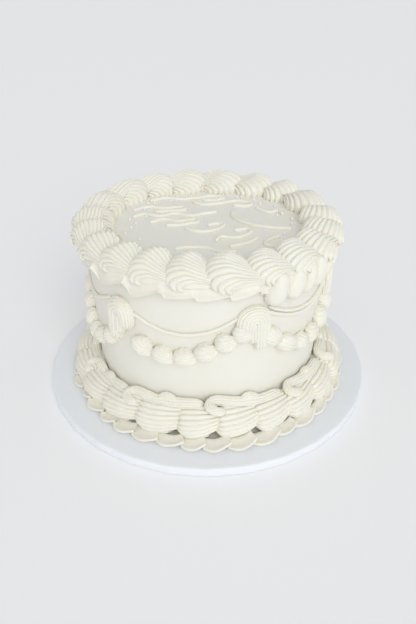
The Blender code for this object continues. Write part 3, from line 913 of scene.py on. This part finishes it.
class CAKE_OT_drops(bpy.types.Operator):
    """Pipe the curled drops where the swags meet"""

    bl_idname = "cake.drops"
    bl_label = "Drops"

    def execute(self, context):
        reach = 4.7 * MM  # from the middle to a leg
        # The bend and its two legs, and the last stroke, which fills the middle. Shares of the reach
        # to the side, and distance up from the top of the bend.
        bend = [(math.cos(math.radians(t)), reach * (math.sin(math.radians(t)) - 1))
                for t in (160, 115, 65, 20)]
        loop = [(-1.06, -26 * MM), (-1.02, -18 * MM), (-1, -9 * MM), *bend, (1, -10 * MM), (1, -16 * MM)]
        middle = [(0.1, -1.5 * MM), (0, -9 * MM), (-0.2, -21 * MM)]
        loop_radii = round_ends(64, (6.6, 7.0, 7.2, 7.3, 7.3, 7.2, 6.8, 5.4), 0.08, 0.14) * MM
        middle_radii = round_ends(30, (3.4, 4.2, 4.5, 4.4, 3.8), 0.12, 0.16) * MM
        for i, (angle, top_mm) in enumerate(zip(DROP_ANGLES, DROP_TOPS)):
            # One leg hangs longer, and the drops take turns in which.
            hand = 1 if i % 2 else -1
            top = BOARD_TOP + (top_mm - 7.4) * MM
            stand = wall_radius(top) + 2.2 * MM
            name = f"drop_{i + 1}"
            parts = []
            for seed, stroke, radii, ribs, depth, flat, squash, face in (
                    (160, loop, loop_radii, 16, 1.0 * MM, 0.97 * reach, 0.64, hand),
                    (170, middle, middle_radii, 9, 0.9 * MM, None, 0.9, 1)):
                line = smooth_line([(hand * reach * a, top + h) for a, h in stroke], len(radii))
                place = angle + np.degrees(line[:, 0] / CAKE_RADIUS)
                up = face * on_cake(place, 1.0, 0.0)
                points = rope_points(on_cake(place, stand, line[:, 1]), up, radii, ribs, depth,
                                     flat=flat, squash=squash)
                parts.append(skin(name, wander(points, seed + i, 20, 0.3)))
            piece = fuse(name, parts)
            finish_piping(piece, [f"drop_ornament_{i + 1}"])
        return {"FINISHED"}


class CAKE_OT_bead_swags(bpy.types.Operator):
    """Pipe the swags of small shells on the wall"""

    bl_idname = "cake.bead_swags"
    bl_label = "Bead swags"

    def execute(self, context):
        width, rise, tail_height, sink = 13.8 * MM, 9.2 * MM, 3.87 * MM, 0.5 * MM
        last_run, last_climb = 7, 6  # degrees and mm, from the last bead's head to its tail
        for i, swag in enumerate(BEADS):
            parts = []
            ends = [*swag[1:], (swag[-1][0] + last_run, swag[-1][1] + last_climb)]
            for k, ((angle, height), (next_angle, next_height)) in enumerate(zip(swag, ends)):
                run = math.radians(next_angle - angle) * CAKE_RADIUS
                climb = (next_height - height) * MM
                length = math.hypot(run, climb)
                tail = (1.25 * length, 0, tail_height)
                points = shell_points(length, width, rise, 10, tail, arc=(15, 345), depth=0.7 * MM,
                                      bands=20, head=0.44, reach=0.52)
                points[..., 2] -= sink
                points = lay_on_wall(points, angle, BOARD_TOP + height * MM, math.atan2(climb, run))
                parts.append(skin("bead", wander(points, 200 + 10 * i + k, 15, 0.45)))
            piece = fuse(f"bead_swag_{i + 1}", parts)
            finish_piping(piece, [f"ball_swag_{i + 1}"])
        return {"FINISHED"}


class CAKE_OT_strings(bpy.types.Operator):
    """Drape the thin strings over the wall"""

    bl_idname = "cake.strings"
    bl_label = "String swags"

    def execute(self, context):
        icing = context.scene.cake_icing
        step = 2.8  # mm from one strand down to the next
        inset = 6.5  # degrees from a drop to a string's end
        for i, (low_angle, low_height, count) in enumerate(STRING_LOWS):
            parts = []
            # A parabola round the lowest point.
            angle = DROP_ANGLES[i] + np.linspace(inset, 60 - inset, 60)
            sag = low_height + STRING_SPREAD * (angle - low_angle) ** 2
            for strand in range(count):
                height = BOARD_TOP + (sag - strand * step) * MM
                radius = icing.string_radius * (1 + 0.1 * strand)
                line = on_cake(angle, wall_radius(height) + 0.8 * radius, height)
                radii = round_ends(len(angle), (radius, radius), 0.03, 0.03)
                points = rope_points(line, on_cake(angle, 1.0, 0.0), radii, 0, 0, plain=12)
                parts.append(skin("string", wander(points, 260 + 10 * i + strand, 30, 0.4)))
            piece = fuse(f"string_{i + 1}", parts)
            finish_piping(piece, [f"string_swag_{i + 1}"], 60)
        return {"FINISHED"}


class CAKE_OT_scrollwork(bpy.types.Operator):
    """Pipe the fine scrollwork on the cake's top"""

    bl_idname = "cake.scrollwork"
    bl_label = "Scrollwork"

    def execute(self, context):
        icing = context.scene.cake_icing
        # Free flourishes, as x and y in mm.
        lines = (
            ((-46, 46), (-34, 52), (-20, 50), (-8, 53), (4, 57), (14, 53), (8, 48), (-4, 48)),
            ((-12, 43), (-2, 38), (10, 41), (22, 46), (35, 41), (31, 35), (20, 36)),
            ((-57, 26), (-46, 33), (-32, 30), (-20, 33), (-17, 28), (-28, 24), (-40, 23)),
            ((-56, 12), (-48, 18), (-36, 14), (-25, 19), (-12, 15), (-4, 19), (8, 23)),
            ((-42, 2), (-32, 8), (-20, 4), (-10, 8), (-7, 3), (-18, -2), (-30, -4)),
            ((20, 24), (19, 13), (25, 4), (36, -4), (49, -8), (61, -9)),
            ((-16, -8), (-8, -14), (4, -12), (12, -4), (8, 0), (0, -3)),
            ((6, -30), (10, -23), (22, -24), (31, -15), (28, -10), (19, -12)),
            ((-22, -43), (-12, -40), (0, -41), (10, -47), (20, -46)),
            ((50, -22), (42, -28), (39, -35), (44, -39)),
            ((38, 30), (46, 22), (54, 25), (57, 17)),
            ((35, -25), (27, -33), (15, -39)),
        )
        height = CAKE_TOP + 0.5 * icing.line_radius
        radii = round_ends(60, (icing.line_radius,) * 2, 0.05, 0.05)
        parts = []
        for i, line in enumerate(lines):
            line = smooth_line([(x * MM, y * MM, height) for x, y in line], len(radii))
            points = rope_points(line, UPWARDS, radii, 0, 0, plain=12)
            parts.append(skin("line", wander(points, 300 + i, 12, 0.25)))
        piece = fuse("top_scrollwork", parts)
        finish_piping(piece, [], 60)
        return {"FINISHED"}


class CAKE_OT_pearls(bpy.types.Operator):
    """Scatter sugar pearls inside the ring of top shells"""

    bl_idname = "cake.pearls"
    bl_label = "Sugar pearls"

    def execute(self, context):
        pearls = context.scene.cake_pearls
        parts = []
        for angle, radius_mm in PEARLS:
            place = on_cake(angle, radius_mm * MM, CAKE_TOP + 0.75 * pearls.radius)
            select_only()
            bpy.ops.mesh.primitive_ico_sphere_add(
                subdivisions=3, radius=pearls.radius, location=tuple(place))
            bpy.ops.object.transform_apply()
            parts.append(bpy.context.object)
        piece = gather("sugar_pearls", parts)
        finish = sugar_pearl("polished sugar pearl", pearls.colour)
        finish_piece(piece, finish, [], 60)
        return {"FINISHED"}


class CAKE_OT_stage(bpy.types.Operator):
    """Set the floor, the soft light and the camera"""

    bl_idname = "cake.stage"
    bl_label = "Floor, light and camera"

    def execute(self, context):
        stage = context.scene.cake_stage
        select_only()
        floor_radius, floor_gap = 14, 0.2 * MM
        bpy.ops.mesh.primitive_circle_add(
            vertices=96, radius=floor_radius, fill_type="NGON", location=(0, 0, -floor_gap))
        floor = context.object
        floor.name = "floor"
        floor.data.materials.append(matte_floor("matte pale floor", stage.floor))

        world = bpy.data.worlds.new("soft sky")
        context.scene.world = world
        world.use_nodes = True
        back = world.node_tree.nodes["Background"]
        back.inputs["Color"].default_value = (*linear("#F8FAFC"), 1)
        back.inputs["Strength"].default_value = stage.sky

        # A wide light from the front, a little from the right.
        around, above = 14, math.radians(33)
        toward = Vector(on_cake(around, math.cos(above), math.sin(above)))
        bpy.ops.object.light_add(type="SUN", location=2 * toward)
        key = context.object
        key.name = "soft key light"
        key.rotation_euler = (-toward).to_track_quat("-Z", "Y").to_euler()
        key.data.angle = math.radians(45)
        key.data.energy = stage.key_power
        key.data.color = linear("#F3F9FF")

        place = (0.51 * MM, -373.64 * MM, 281.6 * MM)
        looks_down = math.radians(32.04)
        bpy.ops.object.camera_add(location=place, rotation=(math.pi / 2 - looks_down, 0, 0))
        camera = context.object
        camera.data.lens = 31.73
        camera.data.sensor_width = 36
        context.scene.camera = camera
        context.scene.view_settings.view_transform = "Standard"
        return {"FINISHED"}


class CAKE_PT_panel(bpy.types.Panel):
    """Buttons and settings for the cake's pieces"""

    bl_idname = "CAKE_PT_panel"
    bl_label = "Piped Cake"
    bl_space_type = "VIEW_3D"
    bl_region_type = "UI"
    bl_category = "Cake"

    def draw(self, context):
        layout = self.layout
        for operator in OPERATORS:
            layout.operator(operator.bl_idname)
        for name, group in GROUPS.items():
            box = layout.box()
            for prop in group.__annotations__:
                box.prop(getattr(context.scene, name), prop)


OPERATORS = (CAKE_OT_board, CAKE_OT_coat, CAKE_OT_scrollwork, CAKE_OT_pearls, CAKE_OT_top_shells,
             CAKE_OT_top_ruffle, CAKE_OT_strings, CAKE_OT_bead_swags, CAKE_OT_drops, CAKE_OT_base_ruffle,
             CAKE_OT_base_shells, CAKE_OT_scroll_rope, CAKE_OT_stage)
GROUPS = {"cake_board": BoardSettings, "cake_icing": IcingSettings, "cake_pearls": PearlSettings,
          "cake_stage": StageSettings}
CLASSES = (*GROUPS.values(), *OPERATORS, CAKE_PT_panel)


def register():
    for cls in CLASSES:
        bpy.utils.register_class(cls)
    for name, group in GROUPS.items():
        setattr(bpy.types.Scene, name, PointerProperty(type=group))


def unregister():
    for name in GROUPS:
        delattr(bpy.types.Scene, name)
    for cls in reversed(CLASSES):
        bpy.utils.unregister_class(cls)


def main():
    register()
    for operator in OPERATORS:
        getattr(bpy.ops.cake, operator.bl_idname.split(".")[1])()


if __name__ == "__main__":
    main()
